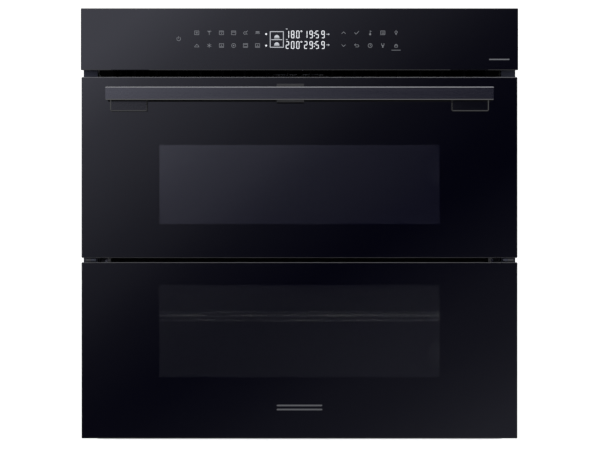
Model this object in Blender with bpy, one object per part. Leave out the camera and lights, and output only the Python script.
"""Built-in wall oven with a split door: the whole door drops open, or its upper half alone.

Metres, +Z up, the oven facing -Y. The origin is at the middle of the base, halfway between the handle's
face and the rear cover. Places are written (x, depth, z), with depth counted from the fascia's front.
Fixed pieces hang on the fascia_plane empty, and moving ones on an empty that sits on their joint's axis.
"""

import math

import bmesh
import bpy
from mathutils import Quaternion
from mathutils import Vector

# Driving dimensions
FASCIA_WIDTH = 0.595
DOOR_WIDTH = 0.593
CASING_WIDTH = 0.560
CASING_DEPTH = 0.570
HANDLE_REACH = 0.047
DOOR_CLEARANCE = 0.004
LOWER_DOOR_HEIGHT = 0.2397
MIDDLE_GAP = 0.006
UPPER_DOOR_HEIGHT = 0.2460
OUTLET_GAP = 0.0092
PANEL_HEIGHT = 0.0843
OUTER_GLASS = 0.004
PANEL_GLASS = 0.005
CABINET_PLANE = 0.021
SHEET = 0.0012
TOUCH = 0.0003

# Heights that follow from them
LOWER_DOOR_TOP = DOOR_CLEARANCE + LOWER_DOOR_HEIGHT
UPPER_DOOR_BOTTOM = LOWER_DOOR_TOP + MIDDLE_GAP
UPPER_DOOR_TOP = UPPER_DOOR_BOTTOM + UPPER_DOOR_HEIGHT
PANEL_BOTTOM = UPPER_DOOR_TOP + OUTLET_GAP
PANEL_TOP = PANEL_BOTTOM + PANEL_HEIGHT
CASING_TOP = PANEL_TOP - 0.0117
CASING_HALF = CASING_WIDTH / 2
CASING_BACK = CASING_DEPTH - CABINET_PLANE

# The cavity, inside: half its width, its floor, roof, front and back
CAVITY_HALF = 0.238
CAVITY_FLOOR = 0.064
CAVITY_ROOF = 0.425
CAVITY_FRONT = 0.0455
CAVITY_BACK = 0.486

# Shelf levels, each the height of its lower guide wire, and what lies on them
GUIDE_LEVELS = (0.105, 0.1627, 0.238, 0.283, 0.340)
GUIDE_SPACING = 0.016
WIRE = 0.002
SHELF_LEVEL = GUIDE_LEVELS[1]
DIVIDER_LEVEL = GUIDE_LEVELS[2]
TRAY_LEVEL = GUIDE_LEVELS[3]
GUIDE_X = 0.2325
GRID_PITCH = 0.0219

# Convection fans, heaters and lamps on the cavity's rear wall
FAN_HEIGHT = {"lower": 0.152, "upper": 0.318}
FAN_RADIUS = 0.062
RING_RADIUS = 0.074
HEATER_TUBE = 0.0032
LAMP = {"lower": (0.208, 0.105), "upper": (0.208, 0.372)}
PROBE = {"lower": (-0.208, 0.120), "upper": (-0.208, 0.372)}
GRILL_HEIGHT = 0.413
FLOOR_HEATER_HEIGHT = 0.0585

# Door insides
FRAME_HALF = 0.268
FRAME_FRONT = 0.0043
FRAME_BACK = 0.0336
INNER_GLASS = (0.034, 0.038)
MIDDLE_GLASS = (0.016, 0.019)

# Joint axes: (depth, z) for those along X, (x, depth) for the blower's
WHOLE_DOOR_AXIS = (0.011, DOOR_CLEARANCE + 0.015)
UPPER_DOOR_AXIS = (0.0022, LOWER_DOOR_TOP + MIDDLE_GAP / 2)
LEVER_AXIS = (-0.030, 0.479)
BLOWER_AXIS = (0.0, 0.430)
BAR_HEIGHT = 0.4722
LATCH_ROD = (0.259, 0.0115)

SIDES = {"left": -1, "right": 1}
BODIES = {}


# ---------------------------------------------------------------- frame, finishes and nodes


def clear_scene():
    for obj in list(bpy.data.objects):
        bpy.data.objects.remove(obj, do_unlink=True)


def finish(name, colour, roughness, metallic=0.0, alpha=1.0):
    """A Principled material, made once for each name."""
    made = bpy.data.materials.get(name)
    if made is None:
        made = bpy.data.materials.new(name)
        made.use_nodes = True
        shader = made.node_tree.nodes["Principled BSDF"]
        shader.inputs["Base Color"].default_value = (*colour, 1.0)
        shader.inputs["Roughness"].default_value = roughness
        shader.inputs["Metallic"].default_value = metallic
        shader.inputs["Alpha"].default_value = alpha
        made.diffuse_color = (*colour, alpha)
    return made


def finishes():
    return {
        "black_glass": finish("black_glass", (0.010, 0.010, 0.013), 0.05),
        "clear_glass": finish("clear_glass", (0.06, 0.07, 0.07), 0.03, alpha=0.35),
        "black_steel": finish("black_steel", (0.020, 0.020, 0.023), 0.38, 0.6),
        "dark_handle": finish("dark_handle", (0.060, 0.060, 0.070), 0.35, 0.9),
        "trim_steel": finish("trim_steel", (0.030, 0.033, 0.050), 0.32, 0.7),
        "galvanized": finish("galvanized", (0.55, 0.56, 0.58), 0.42, 0.9),
        "enamel": finish("enamel", (0.035, 0.038, 0.045), 0.22),
        "chrome_wire": finish("chrome_wire", (0.70, 0.70, 0.71), 0.18, 1.0),
        "stainless": finish("stainless", (0.52, 0.52, 0.53), 0.30, 1.0),
        "heater_steel": finish("heater_steel", (0.12, 0.11, 0.11), 0.45, 0.8),
        "black_plastic": finish("black_plastic", (0.015, 0.015, 0.016), 0.50),
        "seal_rubber": finish("seal_rubber", (0.045, 0.045, 0.047), 0.75),
        "glass_wool": finish("glass_wool", (0.62, 0.56, 0.38), 0.95),
        "circuit_board": finish("circuit_board", (0.02, 0.16, 0.07), 0.45),
        "lamp_glass": finish("lamp_glass", (0.80, 0.82, 0.80), 0.10),
    }


def body(name, place, parent=None):
    """An empty at (x, depth, z) that one body's pieces hang on."""
    made = bpy.data.objects.new(name, None)
    made.empty_display_size = 0.03
    bpy.context.scene.collection.objects.link(made)
    if parent is None:
        made.location = (0.0, -(CASING_DEPTH - HANDLE_REACH) / 2, 0.0)
    else:
        made.parent = BODIES[parent][0]
        made.location = Vector(place) - BODIES[parent][1]
    BODIES[name] = (made, Vector(place))
    return made


def piece(name, mesh, finish_name, hangs_on="fascia_plane"):
    """Makes a node from a mesh drawn in (x, depth, z), with its origin on its body's empty."""
    holder, place = BODIES[hangs_on]
    for vertex in mesh.vertices:
        vertex.co -= place
    obj = bpy.data.objects.new(name, mesh)
    mesh.name = name
    bpy.context.scene.collection.objects.link(obj)
    obj.parent = holder
    mesh.materials.append(finishes()[finish_name])
    return obj


def combine(obj, mesh, operation):
    """Cuts a mesh drawn in (x, depth, z) from a node, or joins it on."""
    place = BODIES[obj.parent.name][1]
    for vertex in mesh.vertices:
        vertex.co -= place
    cutter = bpy.data.objects.new(f"{obj.name}_{operation.lower()}_{len(obj.modifiers)}", mesh)
    bpy.context.scene.collection.objects.link(cutter)
    cutter.parent = obj.parent
    cutter.hide_render = True
    cutter.display_type = "WIRE"
    modifier = obj.modifiers.new(cutter.name, "BOOLEAN")
    modifier.operation = operation
    modifier.solver = "EXACT"
    modifier.object = cutter
    return obj


def cut(obj, mesh):
    return combine(obj, mesh, "DIFFERENCE")


def join(obj, mesh):
    return combine(obj, mesh, "UNION")


def thicken(obj, thickness):
    """Gives a sheet its thickness, on the side away from where its faces look."""
    modifier = obj.modifiers.new("sheet_thickness", "SOLIDIFY")
    modifier.thickness = thickness
    modifier.offset = -1.0
    modifier.use_even_offset = True
    return obj


def bevel(obj, width, segments=1, angle=50.0):
    modifier = obj.modifiers.new("edge_bevel", "BEVEL")
    modifier.width = width
    modifier.segments = segments
    modifier.limit_method = "ANGLE"
    modifier.angle_limit = math.radians(angle)
    return obj


def smooth(obj, angle=35.0):
    """Shades round faces smooth and keeps corners sharp."""
    obj.data.shade_smooth()
    obj.data.set_sharp_from_angle(angle=math.radians(angle))
    return obj


# ---------------------------------------------------------------- outlines


def rectangle(u0, v0, u1, v1):
    return [(u0, v0), (u1, v0), (u1, v1), (u0, v1)]


def arc(u, v, radius, start, end, steps):
    """Points on an arc, ends included, with its angles in degrees."""
    angles = [math.radians(start + (end - start) * i / steps) for i in range(steps + 1)]
    return [(u + radius * math.cos(a), v + radius * math.sin(a)) for a in angles]


def circle(u, v, radius, steps=12):
    return arc(u, v, radius, 0.0, 360.0, steps)[:-1]


def rounded_rectangle(u0, v0, u1, v1, radius, steps=2):
    """A rectangle with round corners, counterclockwise from its lower left."""
    outline = arc(u0 + radius, v0 + radius, radius, 180, 270, steps)
    outline += arc(u1 - radius, v0 + radius, radius, 270, 360, steps)
    outline += arc(u1 - radius, v1 - radius, radius, 0, 90, steps)
    outline += arc(u0 + radius, v1 - radius, radius, 90, 180, steps)
    return outline


def slot(u, v, length, width, along_u=True):
    """A slot with clipped ends, centred on (u, v)."""
    a, b, clip = length / 2, width / 2, width / 4
    points = [(-a, -b + clip), (-a + clip, -b), (a - clip, -b), (a, -b + clip)]
    points += [(a, b - clip), (a - clip, b), (-a + clip, b), (-a, b - clip)]
    if along_u:
        return [(u + p, v + q) for p, q in points]
    return [(u - q, v + p) for p, q in points]


def bent_sheet(points, thickness):
    """The outline of a sheet bent along points, with its thickness on the left of the way they run."""
    runs = [(Vector(b) - Vector(a)).normalized() for a, b in zip(points, points[1:])]
    normals = [Vector((-run.y, run.x)) for run in runs]
    far_side = []
    for i, point in enumerate(points):
        before = normals[max(i - 1, 0)]
        after = normals[min(i, len(normals) - 1)]
        middle = (before + after).normalized()
        far_side.append(Vector(point) + middle * thickness / middle.dot(after))
    return [tuple(p) for p in points] + [tuple(p) for p in reversed(far_side)]


def mirrored(outline, side):
    """An outline in (x, v), flipped for the left side."""
    return [(side * u, v) for u, v in outline]


def span(side, near, far):
    """The two x values of something between two distances from the middle, smaller first."""
    return sorted((side * near, side * far))


# ---------------------------------------------------------------- meshes


def mapped(axis, u, v, w):
    """The point at (u, v) across an axis and w along it."""
    return {"X": (w, u, v), "Y": (u, w, v), "Z": (u, v, w)}[axis]


def to_mesh(bm, recalculate=True):
    if recalculate:
        bmesh.ops.recalc_face_normals(bm, faces=bm.faces[:])
    mesh = bpy.data.meshes.new("mesh")
    bm.to_mesh(mesh)
    bm.free()
    return mesh


def boxes(*corners):
    """Boxes, each (low, high), that stay clear of one another."""
    bm = bmesh.new()
    for low, high in corners:
        made = bmesh.ops.create_cube(bm, size=1.0)["verts"]
        bmesh.ops.scale(bm, vec=Vector(high) - Vector(low), verts=made)
        bmesh.ops.translate(bm, vec=(Vector(low) + Vector(high)) / 2, verts=made)
    return to_mesh(bm)


def extrude(bm, faces, axis, distance):
    grown = bmesh.ops.extrude_face_region(bm, geom=faces)["geom"]
    moved = [item for item in grown if isinstance(item, bmesh.types.BMVert)]
    bmesh.ops.translate(bm, verts=moved, vec=mapped(axis, 0.0, 0.0, distance))


def prism(loops, axis, start, end):
    """A solid from an outline and the outlines of its holes, extruded along an axis."""
    bm = bmesh.new()
    for loop in loops:
        verts = [bm.verts.new(mapped(axis, u, v, start)) for u, v in loop]
        for a, b in zip(verts, verts[1:] + verts[:1]):
            bm.edges.new((a, b))
    bmesh.ops.triangle_fill(bm, use_beauty=True, use_dissolve=False, edges=bm.edges[:])
    extrude(bm, bm.faces[:], axis, end - start)
    return to_mesh(bm)


def prisms(outlines, axis, start, end):
    """Separate solids in one mesh, one for each outline."""
    bm = bmesh.new()
    for outline in outlines:
        face = bm.faces.new([bm.verts.new(mapped(axis, u, v, start)) for u, v in outline])
        extrude(bm, [face], axis, end - start)
    return to_mesh(bm)


def pressed(rings, axis, capped=True):
    """A sheet through rings (u0, v0, u1, v1, corner radius, level), closed at the last if capped."""
    bm = bmesh.new()
    loops = []
    for u0, v0, u1, v1, radius, level in rings:
        outline = rounded_rectangle(u0, v0, u1, v1, radius)
        loops.append([bm.verts.new(mapped(axis, u, v, level)) for u, v in outline])
    for a, b in zip(loops, loops[1:]):
        for i in range(len(a)):
            j = (i + 1) % len(a)
            bm.faces.new((a[i], a[j], b[j], b[i]))
    if capped:
        bm.faces.new(loops[-1])
    return to_mesh(bm, recalculate=False)


def lathe(profile, axis, u, v, steps=20):
    """A solid turned about the line (u, v) along an axis, from a profile of (radius, level)."""
    bm = bmesh.new()
    rings = []
    for radius, level in profile:
        rings.append([bm.verts.new(mapped(axis, p, q, level)) for p, q in circle(u, v, radius, steps)])
    for a, b in zip(rings, rings[1:]):
        for i in range(steps):
            j = (i + 1) % steps
            bm.faces.new((a[i], a[j], b[j], b[i]))
    bm.faces.new(rings[0])
    bm.faces.new(rings[-1])
    return to_mesh(bm)


def filleted(points, radius, steps=2, closed=False):
    """A path with its sharp corners replaced by arcs."""
    points = [Vector(p) for p in points]
    path = []
    for i, point in enumerate(points):
        if not closed and i in (0, len(points) - 1):
            path.append(point)
            continue
        back = (points[i - 1] - point).normalized()
        ahead = (points[(i + 1) % len(points)] - point).normalized()
        half = back.angle(ahead) / 2
        if half > math.radians(70):
            path.append(point)
            continue
        centre = point + (back + ahead).normalized() * radius / math.sin(half)
        first = point + back * radius / math.tan(half) - centre
        last = point + ahead * radius / math.tan(half) - centre
        turn = first.rotation_difference(last)
        path += [centre + Quaternion().slerp(turn, k / steps) @ first for k in range(steps + 1)]
    return path


def tubes(paths, radius, sides=8, closed=False):
    """Round tubes along paths that stay clear of one another, with flat ends unless closed."""
    bm = bmesh.new()
    for path in paths:
        path = [Vector(p) for p in path]
        count = len(path)
        rings = []
        across = None
        for i, point in enumerate(path):
            before = path[i - 1] if closed or i else point
            after = path[(i + 1) % count] if closed or i < count - 1 else point
            along = (after - before).normalized()
            across = along.orthogonal() if across is None else across
            across = (across - along * across.dot(along)).normalized()
            other = along.cross(across)
            ring = [across * p + other * q for p, q in circle(0.0, 0.0, radius, sides)]
            rings.append([bm.verts.new(point + offset) for offset in ring])
        pairs = list(zip(rings, rings[1:]))
        if closed:
            pairs.append((rings[-1], rings[0]))
        for a, b in pairs:
            for k in range(sides):
                j = (k + 1) % sides
                bm.faces.new((a[k], a[j], b[j], b[k]))
        if not closed:
            bm.faces.new(rings[0])
            bm.faces.new(rings[-1])
    return to_mesh(bm)


# ---------------------------------------------------------------- casing


def build_casing():
    """Base, sides, top, rear cover and the two side trims that screw to the cabinet."""
    outline = [(-0.2786, 0.024), (-0.2786, DOOR_CLEARANCE), (0.2786, DOOR_CLEARANCE), (0.2786, 0.024)]
    base = piece("base_plate", prism([bent_sheet(outline, SHEET)], "Y", 0.036, CASING_BACK - 0.001),
                 "galvanized")
    join(base, boxes(((-0.232, 0.090, 0.0), (-0.200, 0.530, 0.0046)),
                     ((0.200, 0.090, 0.0), (0.232, 0.530, 0.0046))))
    vents = [slot(0.028 * i, depth, 0.060, 0.006, False) for i in range(-4, 5) for depth in (0.20, 0.38)]
    cut(base, prisms(vents, "Z", 0.002, 0.010))

    for name, side in SIDES.items():
        top = CASING_TOP
        outline = [(CASING_HALF, 0.006), (CASING_HALF, top), (CASING_HALF - 0.014, top)]
        panel = piece(f"side_panel_{name}",
                      prism([mirrored(bent_sheet(outline, 0.001), side)], "Y", 0.028, CASING_BACK),
                      "galvanized")
        vents = [slot(0.30 + 0.030 * i, 0.525, 0.034, 0.005, False) for i in range(7)]
        cut(panel, prisms(vents, "X", side * 0.270, side * 0.290))

        outline = [(0.2945, CABINET_PLANE), (0.2764, CABINET_PLANE), (0.2764, 0.040)]
        trim = piece(f"side_trim_{name}",
                     prism([mirrored(bent_sheet(outline, SHEET), side)], "Z", 0.016, PANEL_BOTTOM + 0.0080),
                     "trim_steel")
        holes = [circle(side * 0.2865, z, 0.0023, 8) for z in (0.060, 0.235, 0.410)]
        cut(trim, prisms(holes, "Y", 0.018, 0.023))

    cover = piece("top_cover", boxes(((-0.2785, 0.028, CASING_TOP + 0.0004),
                                      (0.2785, CASING_BACK, CASING_TOP + 0.0014))), "galvanized")
    vents = [slot(0.030 * i, 0.430, 0.070, 0.006, False) for i in range(-3, 4)]
    vents += [slot(side * (0.16 + 0.022 * i), 0.20, 0.050, 0.005, False)
              for i in range(4) for side in (-1, 1)]
    cut(cover, prisms(vents, "Z", CASING_TOP - 0.003, CASING_TOP + 0.004))

    back = CASING_BACK + TOUCH
    rear = piece("rear_cover", pressed([(-0.2785, 0.006, 0.2785, CASING_TOP - 0.0005, 0.004, back),
                                        (-0.158, 0.092, 0.158, 0.528, 0.014, back),
                                        (-0.150, 0.100, 0.150, 0.520, 0.012, CASING_DEPTH - 0.001)], "Y"),
                 "galvanized")
    thicken(rear, 0.001)
    vents = [slot(0.0, 0.130 + 0.016 * i, 0.200, 0.006) for i in range(3)]
    vents += [slot(0.0, 0.470 + 0.016 * i, 0.200, 0.006) for i in range(3)]
    vents.append(circle(-0.210, 0.540, 0.010))
    cut(rear, prisms(vents, "Y", 0.540, 0.580))


def build_front_frame():
    """The stepped frame round the cavity's mouth, with the two hinge receivers welded behind it."""
    frame = piece("front_frame", pressed([(-0.2725, 0.0085, 0.2725, 0.4925, 0.006, 0.0275),
                                          (-0.2725, 0.0085, 0.2725, 0.4925, 0.006, 0.044),
                                          (-0.239, 0.063, 0.239, 0.426, 0.022, 0.044)], "Y", False),
                  "black_steel")
    thicken(frame, SHEET)
    for side in SIDES.values():
        u0, u1 = span(side, 0.2537, 0.2598)
        cut(frame, boxes(((u0, 0.040, 0.0115), (u1, 0.050, 0.0265))))
        outline = [(0.2525, 0.031), (0.2525, 0.0095), (0.2610, 0.0095), (0.2610, 0.031)]
        join(frame, prism([mirrored(bent_sheet(outline, SHEET), side)], "Y", 0.0447, 0.105))

    path = [(u, 0.0412, v) for u, v in rounded_rectangle(-0.246, 0.056, 0.246, 0.433, 0.025, 3)]
    smooth(piece("door_gasket", tubes([path], 0.0025, 8, closed=True), "seal_rubber"), 60)

    for name, side in SIDES.items():
        depth, z = WHOLE_DOOR_AXIS
        outline = arc(depth, z, 0.0045, 90, 270, 5) + [(0.098, z - 0.0045), (0.098, z + 0.0045)]
        arm = piece(f"hinge_arm_{name}", prism([outline], "X", *span(side, 0.2553, 0.2583)), "stainless")
        u0, u1 = span(side, 0.2540, 0.2595)
        join(arm, boxes(((u0, 0.050, z - 0.006), (u1, 0.100, z + 0.006))))
        join(arm, prism([circle(depth, z, 0.0025)], "X", *span(side, 0.2527, 0.2608)))


# ---------------------------------------------------------------- cavity and what is in it


def rear_openings(grown):
    """Outlines of the openings in the rear wall, each with its radius grown by so much."""
    openings = [circle(0.0, z, 0.0065 + grown) for z in FAN_HEIGHT.values()]
    openings += [circle(*place, 0.0180 + grown / 2, 16) for place in LAMP.values()]
    openings += [circle(*place, 0.0035 + grown, 8) for place in PROBE.values()]
    openings += [circle(x, GRILL_HEIGHT, 0.0048 + grown / 2, 8) for x in (-0.03, 0.03)]
    for z in FAN_HEIGHT.values():
        openings += [circle(*ring_end(z, turn), 0.0048 + grown / 2, 8) for turn in (-1, 1)]
    return openings


def ring_end(z, turn):
    """Where a ring heater's two ends leave the ring, as (x, z)."""
    angle = math.radians(10 * turn)
    return (RING_RADIUS * math.cos(angle), z + RING_RADIUS * math.sin(angle))


def build_cavity():
    cavity = piece("cavity", pressed([(-0.252, 0.050, 0.252, 0.439, 0.020, CAVITY_FRONT),
                                      (-CAVITY_HALF, CAVITY_FLOOR, CAVITY_HALF, CAVITY_ROOF, 0.020,
                                       CAVITY_FRONT),
                                      (-CAVITY_HALF, CAVITY_FLOOR, CAVITY_HALF, CAVITY_ROOF, 0.020,
                                       CAVITY_BACK)], "Y"), "enamel")
    thicken(cavity, 0.0015)
    cut(cavity, prisms(rear_openings(0.0), "Y", CAVITY_BACK - 0.002, CAVITY_BACK + 0.004))

    blanket = piece("insulation", pressed([(-0.243, 0.053, 0.243, 0.430, 0.020, 0.062),
                                           (-0.243, 0.053, 0.243, 0.430, 0.020, 0.492)], "Y"),
                    "glass_wool")
    thicken(blanket, 0.016)
    openings = rear_openings(0.003)
    openings += [circle(x, FLOOR_HEATER_HEIGHT + 0.0005, 0.0046, 8) for x in (-0.04, 0.04)]
    cut(blanket, prisms(openings, "Y", 0.490, 0.510))


def build_shelves():
    """The two wire racks, and on them a shelf, the divider between the zones and a baking tray."""
    for name, side in SIDES.items():
        posts = [[(side * 0.2355, depth, 0.085), (side * 0.2355, depth, 0.402)] for depth in (0.09, 0.41)]
        rack = piece(f"rack_{name}", tubes(posts, WIRE, 8), "chrome_wire")
        guides = []
        for level in GUIDE_LEVELS:
            ends = rounded_rectangle(0.050, level, 0.460, level + GUIDE_SPACING, 0.0079, 2)
            guides.append([(side * GUIDE_X, depth, z) for depth, z in ends])
        join(rack, tubes(guides, WIRE, 6, closed=True))
        smooth(rack, 50)

    rail = 0.003
    z = SHELF_LEVEL + WIRE + rail + TOUCH
    path = [(u, v, z) for u, v in rounded_rectangle(-0.230, 0.062, 0.230, 0.444, 0.012, 2)]
    shelf = piece("wire_shelf", tubes([path], rail, 8, closed=True), "chrome_wire")
    count = 10
    places = [GRID_PITCH * (i + 0.5 - count) for i in range(2 * count)]
    wires = [[(x, 0.0605, z + 0.0030), (x, 0.4455, z + 0.0030)] for x in places]
    join(shelf, tubes(wires, 0.0015, 6))
    join(shelf, tubes([[(-0.2295, 0.253, z - 0.0008), (0.2295, 0.253, z - 0.0008)]], 0.0025, 6))
    smooth(shelf, 50)

    z = DIVIDER_LEVEL + WIRE + TOUCH
    divider = piece("divider", pressed([(-0.2325, 0.0620, 0.2325, 0.4515, 0.004, z + 0.001),
                                        (-0.2245, 0.0680, 0.2245, 0.4455, 0.008, z + 0.001),
                                        (-0.2230, 0.0700, 0.2230, 0.4435, 0.008, z + 0.014)], "Z"),
                    "stainless")
    thicken(divider, 0.001)

    z = TRAY_LEVEL + WIRE + TOUCH
    tray = piece("baking_tray", pressed([(-0.2325, 0.064, 0.2325, 0.440, 0.012, z + 0.001),
                                         (-0.2240, 0.074, 0.2240, 0.430, 0.012, z + 0.001),
                                         (-0.2180, 0.080, 0.2180, 0.424, 0.012, z - 0.019)], "Z"), "enamel")
    for polygon in tray.data.polygons:
        polygon.flip()
    thicken(tray, 0.001)


def build_heating():
    """Grill, floor heater, ring heaters, the fans with their motors, lamps and probes."""
    z = GRILL_HEIGHT
    half = [(0.03, 0.512), (0.03, 0.425), (0.19, 0.425), (0.19, 0.10), (0.115, 0.10), (0.115, 0.37),
            (0.04, 0.37), (0.04, 0.10)]
    path = [(x, depth, z) for x, depth in half] + [(-x, depth, z) for x, depth in reversed(half)]
    smooth(piece("grill_element", tubes([filleted(path, 0.016)], HEATER_TUBE, 6), "heater_steel"), 70)

    half = [(0.04, 0.512), (0.04, 0.44), (0.17, 0.44), (0.17, 0.11)]
    path = [(x, depth, FLOOR_HEATER_HEIGHT) for x, depth in half]
    path += [(-x, depth, FLOOR_HEATER_HEIGHT) for x, depth in reversed(half)]
    smooth(piece("floor_heater", tubes([filleted(path, 0.016)], 0.0030, 6), "heater_steel"), 70)

    baffle = piece("fan_baffle", pressed([(-0.182, 0.0685, 0.182, 0.4030, 0.012, CAVITY_BACK - 0.0008),
                                          (-0.174, 0.0765, 0.174, 0.3950, 0.012, 0.4525)], "Y"), "enamel")
    thicken(baffle, 0.001)
    openings = []
    for z in FAN_HEIGHT.values():
        for radius, count in ((0.012, 6), (0.026, 10), (0.040, 14)):
            turns = [2 * math.pi * i / count for i in range(count)]
            openings += [circle(radius * math.cos(t), z + radius * math.sin(t), 0.0040, 6) for t in turns]
        for i in range(-3, 4):
            openings += [slot(side * 0.150, z + 0.018 * i, 0.022, 0.006) for side in (-1, 1)]
    cut(baffle, prisms(openings, "Y", 0.450, 0.456))

    for zone, z in FAN_HEIGHT.items():
        turns = arc(0.0, z, RING_RADIUS, 10, 350, 20)
        path = [(x, 0.470, v) for x, v in turns]
        path = [(path[0][0], 0.512, path[0][2])] + path + [(path[-1][0], 0.512, path[-1][2])]
        ring = filleted(path, 0.006)
        smooth(piece(f"{zone}_ring_heater", tubes([ring], HEATER_TUBE, 6), "heater_steel"), 70)

        motor = piece(f"{zone}_fan_motor", lathe([(0.012, 0.5125), (0.030, 0.5125), (0.030, 0.538),
                                                  (0.014, 0.538), (0.014, 0.547)], "Y", 0.0, z),
                      "stainless")
        join(motor, boxes(((-0.048, 0.5105, z - 0.009), (0.048, 0.5128, z + 0.009))))
        smooth(motor)

        x, height = LAMP[zone]
        profile = [(0.011, 0.4690), (0.018, 0.4725), (0.0205, 0.478), (0.0205, CAVITY_BACK - TOUCH),
                   (0.0155, CAVITY_BACK - TOUCH), (0.0155, 0.515)]
        smooth(piece(f"{zone}_lamp", lathe(profile, "Y", x, height, 16), "lamp_glass"))

        x, height = PROBE[zone]
        profile = [(0.0022, 0.440), (0.0022, 0.4835), (0.0055, 0.4835), (0.0055, CAVITY_BACK - TOUCH),
                   (0.0022, CAVITY_BACK - TOUCH), (0.0022, 0.514)]
        smooth(piece(f"{zone}_temperature_probe", lathe(profile, "Y", x, height, 10), "stainless"))


def build_fans():
    """The moving fans: two in the cavity, turning about Y, and the blower's rotor, about Z."""
    for zone, z in FAN_HEIGHT.items():
        hangs_on = f"{zone}_fan_axis"
        body(hangs_on, (0.0, 0.470, z), "fascia_plane")
        fan = piece(f"{zone}_convection_fan", star_prism(12, 0.009, FAN_RADIUS - 0.001, 0.0007, "Y", 0.0, z,
                                                         0.4620, 0.4780), "stainless", hangs_on)
        profile = [(0.010, 0.4600), (0.010, 0.4775), (FAN_RADIUS, 0.4775), (FAN_RADIUS, 0.4787),
                   (0.010, 0.4787), (0.010, 0.482), (0.004, 0.482), (0.004, 0.5095)]
        join(fan, lathe(profile, "Y", 0.0, z, 24))

    x, depth = BLOWER_AXIS
    body("blower_axis", (x, depth, 0.490), "fascia_plane")
    rotor = piece("blower_rotor", star_prism(16, 0.010, 0.0570, 0.0008, "Z", x, depth, 0.4700, 0.5030),
                  "black_plastic", "blower_axis")
    join(rotor, lathe([(0.058, 0.4685), (0.058, 0.4705), (0.011, 0.4705), (0.011, 0.508), (0.004, 0.508),
                       (0.004, 0.5215)], "Z", x, depth, 24))


def star_prism(blades, hub, tip, half_thickness, axis, u, v, start, end):
    """Thin radial blades joined at a hub, extruded along an axis."""
    outline = []
    for i in range(blades):
        turn = 2 * math.pi * i / blades
        inner = math.asin(half_thickness / hub)
        outer = math.asin(half_thickness / tip)
        for radius, angle in ((hub, turn - inner), (tip, turn - outer), (tip, turn + outer),
                              (hub, turn + inner)):
            outline.append((u + radius * math.cos(angle), v + radius * math.sin(angle)))
    return prism([outline], axis, start, end)


# ---------------------------------------------------------------- cooling, panel and electrics


def build_cooling():
    """The blower that cools the casing, its duct and the outlet above the door."""
    x, depth = BLOWER_AXIS
    housing = piece("blower_housing", boxes(((-0.095, 0.335, 0.462), (0.095, 0.535, 0.514))), "galvanized")
    cut(housing, boxes(((-0.0938, 0.330, 0.4632), (0.0938, 0.5338, 0.5128))))
    cut(housing, prisms([circle(x, depth, 0.042, 20)], "Z", 0.510, 0.518))

    motor = piece("blower_motor", lathe([(0.012, 0.5225), (0.028, 0.5225), (0.028, 0.552), (0.010, 0.552),
                                         (0.010, 0.558)], "Z", x, depth), "stainless")
    join(motor, boxes(((-0.060, depth - 0.007, 0.5220), (0.060, depth + 0.007, 0.5240))))
    feet = [((s * 0.056 - 0.004, depth - 0.007, 0.5143), (s * 0.056 + 0.004, depth + 0.007, 0.5225))
            for s in (-1, 1)]
    join(motor, boxes(*feet))
    smooth(motor)

    duct = piece("air_duct", pressed([(-0.262, 0.4820, 0.262, 0.5070, 0.004, 0.0625),
                                      (-0.094, 0.4640, 0.094, 0.5125, 0.004, 0.3340)], "Y", False),
                 "galvanized")
    thicken(duct, 0.0008)

    outlet = piece("air_outlet", boxes(((-0.2725, 0.026, 0.4940), (0.2725, 0.060, 0.5085))), "black_plastic")
    slots = [rectangle(0.030 * i - 0.0135, 0.4960, 0.030 * i + 0.0135, 0.5065) for i in range(-8, 9)]
    cut(outlet, prisms(slots, "Y", 0.020, 0.066))


def build_panel():
    """The control panel: glass, carrier, touch board with its display, and the boards behind."""
    half = FASCIA_WIDTH / 2
    glass = piece("control_panel_glass", boxes(((-half, 0.0, PANEL_BOTTOM), (half, PANEL_GLASS, PANEL_TOP))),
                  "black_glass")
    bevel(glass, 0.0008)
    loops = [rectangle(-0.270, 0.5115, 0.270, 0.5765), rectangle(-0.180, 0.519, 0.180, 0.571)]
    piece("panel_carrier", prism(loops, "Y", PANEL_GLASS + TOUCH, 0.0260), "black_plastic")
    board = piece("touch_board", boxes(((-0.175, 0.0120, 0.522), (0.175, 0.0136, 0.568))), "circuit_board")
    join(board, boxes(((-0.046, 0.0055, 0.533), (0.042, 0.0125, 0.562))))

    power = piece("power_board", boxes(((0.130, 0.340, 0.4660), (0.250, 0.500, 0.4676))), "circuit_board")
    parts = [((0.140, 0.352, 0.4672), (0.170, 0.380, 0.500)), ((0.180, 0.352, 0.4672), (0.198, 0.378, 0.488)),
             ((0.205, 0.352, 0.4672), (0.223, 0.378, 0.488)), ((0.145, 0.400, 0.4672), (0.235, 0.412, 0.482)),
             ((0.150, 0.440, 0.4672), (0.172, 0.480, 0.494)), ((0.195, 0.450, 0.4672), (0.240, 0.462, 0.480))]
    join(power, boxes(*parts))
    block = piece("terminal_block", boxes(((-0.245, 0.515, 0.500), (-0.175, 0.545, 0.526))), "black_plastic")
    wells = [rectangle(-0.239 + 0.012 * i, 0.505, -0.232 + 0.012 * i, 0.519) for i in range(5)]
    cut(block, prisms(wells, "Y", 0.532, 0.550))


# ---------------------------------------------------------------- doors


def door_frame(name, hangs_on, bottom, top, opening_bottom, opening_top):
    """A pressed channel ring, open to the front, with its inner flange holding the middle glass."""
    wall = 0.001
    half = FRAME_HALF - wall
    frame = piece(name, pressed([(-half, bottom + wall, half, top - wall, 0.004, FRAME_FRONT),
                                 (-half, bottom + wall, half, top - wall, 0.004, FRAME_BACK - wall),
                                 (-0.250, opening_bottom, 0.250, opening_top, 0.004, FRAME_BACK - wall),
                                 (-0.250, opening_bottom, 0.250, opening_top, 0.004, 0.0193)], "Y", False),
                  "black_steel", hangs_on)
    return thicken(frame, wall)


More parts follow.
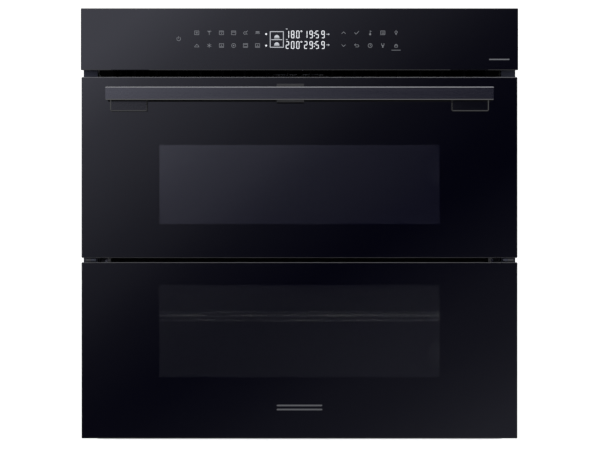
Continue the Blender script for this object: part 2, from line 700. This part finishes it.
def latch_holes(bottom, top):
    outlines = [circle(side * LATCH_ROD[0], LATCH_ROD[1], 0.0032, 10) for side in SIDES.values()]
    return prisms(outlines, "Z", bottom, top)


def build_lower_door():
    hangs_on = "whole_door_hinge"
    body(hangs_on, (0.0, *WHOLE_DOOR_AXIS), "fascia_plane")
    half = DOOR_WIDTH / 2
    pane = boxes(((-half, 0.0, DOOR_CLEARANCE), (half, OUTER_GLASS, LOWER_DOOR_TOP)))
    glass = piece("lower_door_glass", pane, "black_glass", hangs_on)
    bevel(glass, 0.0008)

    frame = door_frame("lower_door_frame", hangs_on, 0.018, 0.241, 0.036, 0.223)
    cut(frame, latch_holes(0.2390, 0.2420))
    axis_depth, axis_z = UPPER_DOOR_AXIS
    for side in SIDES.values():
        u0, u1 = span(side, 0.2518, 0.2617)
        cut(frame, boxes(((u0, 0.0035, 0.0165), (u1, 0.0345, 0.0385))))
        u0, u1 = span(side, 0.262, 0.291)
        join(frame, boxes(((u0, 0.0043, 0.215), (u1, 0.0065, 0.2396))))
        u0, u1 = span(side, 0.2839, 0.291)
        join(frame, boxes(((u0, 0.0043, 0.2350), (u1, 0.0065, axis_z))))
        join(frame, boxes(((u0, 0.0024, 0.2445), (u1, 0.0060, axis_z))))
        join(frame, prism([circle(axis_depth, axis_z, 0.0022, 12)], "X", u0, u1))
        join(frame, prism([circle(axis_depth, axis_z, 0.0010, 10)], "X", *span(side, 0.2778, 0.285)))

    piece("lower_middle_glass", boxes(((-0.2515, MIDDLE_GLASS[0], 0.030), (0.2515, MIDDLE_GLASS[1], 0.229))),
          "clear_glass", hangs_on)
    piece("lower_inner_glass", boxes(((-0.262, INNER_GLASS[0], 0.040), (0.262, INNER_GLASS[1], 0.2405))),
          "clear_glass", hangs_on)
    piece("centre_seal", boxes(((-0.262, 0.024, 0.2413), (0.262, 0.0385, 0.2515))), "seal_rubber", hangs_on)

    depth, z = WHOLE_DOOR_AXIS
    for name, side in SIDES.items():
        outline = [(0.2525, 0.031), (0.2525, 0.0075), (0.2610, 0.0075), (0.2610, 0.031)]
        casing = piece(f"hinge_casing_{name}",
                       prism([mirrored(bent_sheet(outline, SHEET), side)], "Z", 0.0125, 0.120),
                       "galvanized", hangs_on)
        cut(casing, prisms([circle(depth, z, 0.0028)], "X", *span(side, 0.2515, 0.2620)))
        u0, u1 = span(side, 0.25365, 0.25985)
        cut(casing, boxes(((u0, 0.0065, 0.0115), (u1, 0.0090, 0.027))))


def build_upper_door():
    hangs_on = "upper_door_hinge"
    body(hangs_on, (0.0, *UPPER_DOOR_AXIS), "whole_door_hinge")
    half = DOOR_WIDTH / 2
    pane = boxes(((-half, 0.0, UPPER_DOOR_BOTTOM), (half, OUTER_GLASS, UPPER_DOOR_TOP)))
    glass = piece("upper_door_glass", pane, "black_glass", hangs_on)
    bevel(glass, 0.0008)

    frame = door_frame("upper_door_frame", hangs_on, 0.252, 0.489, 0.270, 0.430)
    cut(frame, latch_holes(0.2510, 0.2540))
    for side in SIDES.values():
        u0, u1 = span(side, 0.2616, 0.2690)
        cut(frame, boxes(((u0, 0.0035, 0.2531), (u1, 0.0068, 0.2803))))

    piece("upper_middle_glass", boxes(((-0.2515, MIDDLE_GLASS[0], 0.264), (0.2515, MIDDLE_GLASS[1], 0.436))),
          "clear_glass", hangs_on)
    piece("upper_inner_glass", boxes(((-0.262, INNER_GLASS[0], 0.2529), (0.262, INNER_GLASS[1], 0.452))),
          "clear_glass", hangs_on)

    axis_depth, axis_z = UPPER_DOOR_AXIS
    for name, side in SIDES.items():
        u0, u1 = span(side, 0.2770, 0.2836)
        knuckle = piece(f"middle_hinge_{name}", prism([circle(axis_depth, axis_z, 0.0022, 12)], "X", u0, u1),
                        "trim_steel", hangs_on)
        join(knuckle, boxes(((u0, 0.0024, axis_z), (u1, 0.0060, 0.2489))))
        join(knuckle, boxes(((u0, 0.0043, axis_z), (u1, 0.0065, 0.2545))))
        w0, w1 = span(side, 0.2620, 0.2836)
        join(knuckle, boxes(((w0, 0.0043, 0.2535), (w1, 0.0065, 0.280))))
        cut(knuckle, prism([circle(axis_depth, axis_z, 0.0013, 10)], "X", *span(side, 0.2775, 0.2845)))

        profile = [(-0.0367, 0.4650), (-0.0125, 0.4650), (-0.0125, 0.4490), (-0.0003, 0.4490),
                   (-0.0003, 0.4805), (-0.0367, 0.4805)]
        post = piece(f"handle_post_{name}", prism([profile], "X", *span(side, 0.2066, 0.2570)),
                     "dark_handle", hangs_on)
        bevel(post, 0.0012)


def build_handle():
    """The bar, the lever behind it that frees the upper door, and the latch rods it lifts."""
    back = -HANDLE_REACH + 0.010
    profile = rounded_rectangle(-HANDLE_REACH, BAR_HEIGHT - 0.00915, back, BAR_HEIGHT + 0.00915, 0.0015)
    bar = piece("handle_bar", prism([profile], "X", -0.2615, 0.2615), "dark_handle", "upper_door_hinge")
    join(bar, boxes(((-0.0350, back - 0.0005, 0.4740), (-0.0314, -0.0270, 0.4812)),
                    ((0.0068, back - 0.0005, 0.4740), (0.0104, -0.0270, 0.4812))))
    cut(bar, prism([circle(*LEVER_AXIS, 0.0015, 8)], "X", -0.0340, 0.0094))

    body("lever_pivot", (-0.0123, *LEVER_AXIS), "upper_door_hinge")
    lever = piece("handle_lever", boxes(((-0.0307, -0.0315, 0.4605), (0.0061, -0.0285, 0.4855))),
                  "black_plastic", "lever_pivot")
    join(lever, prism([circle(*LEVER_AXIS, 0.0011, 8)], "X", -0.0335, 0.0089))

    body("latch_slide", (0.0, LATCH_ROD[1], 0.455), "upper_door_hinge")
    x, depth = LATCH_ROD
    path = [(-x, depth, 0.2425), (-x, depth, 0.455), (x, depth, 0.455), (x, depth, 0.2425)]
    smooth(piece("latch_rods", tubes([filleted(path, 0.012, 3)], 0.0022, 8), "stainless", "latch_slide"), 60)


def main():
    clear_scene()
    body("fascia_plane", (0.0, 0.0, 0.0))
    build_casing()
    build_front_frame()
    build_cavity()
    build_shelves()
    build_heating()
    build_fans()
    build_cooling()
    build_panel()
    build_lower_door()
    build_upper_door()
    build_handle()


main()
